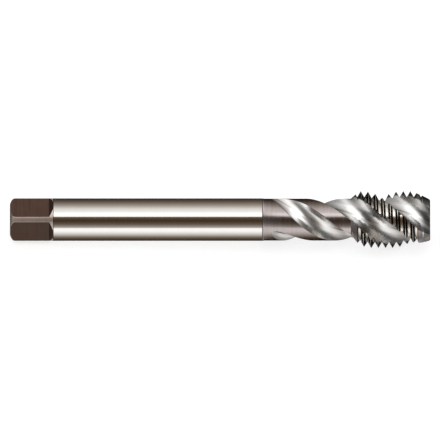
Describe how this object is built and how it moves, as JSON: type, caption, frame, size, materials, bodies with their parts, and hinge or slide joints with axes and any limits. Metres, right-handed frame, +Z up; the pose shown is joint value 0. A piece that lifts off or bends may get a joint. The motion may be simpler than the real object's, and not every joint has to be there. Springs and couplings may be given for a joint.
{
  "type": "thread tap",
  "caption": "Spiral-flute machine tap: a threaded, fluted cutting end with a tapered lead, a plain neck, and a round shank with a square drive end.",
  "frame": {"origin": "middle of the footprint, on the surface that the tap lies on", "axes": "+X along the tap from the drive end to the cutting end, which lies 1.2 degrees above level; +Z up from the surface"},
  "size_m": [0.0892, 0.012, 0.012],
  "materials": {
    "tool_steel": "ground and polished, with dark oxide left on the drive square"
  },
  "bodies": {
    "root": {"thread_tap": "tool_steel"}
  },
  "joints": []
}
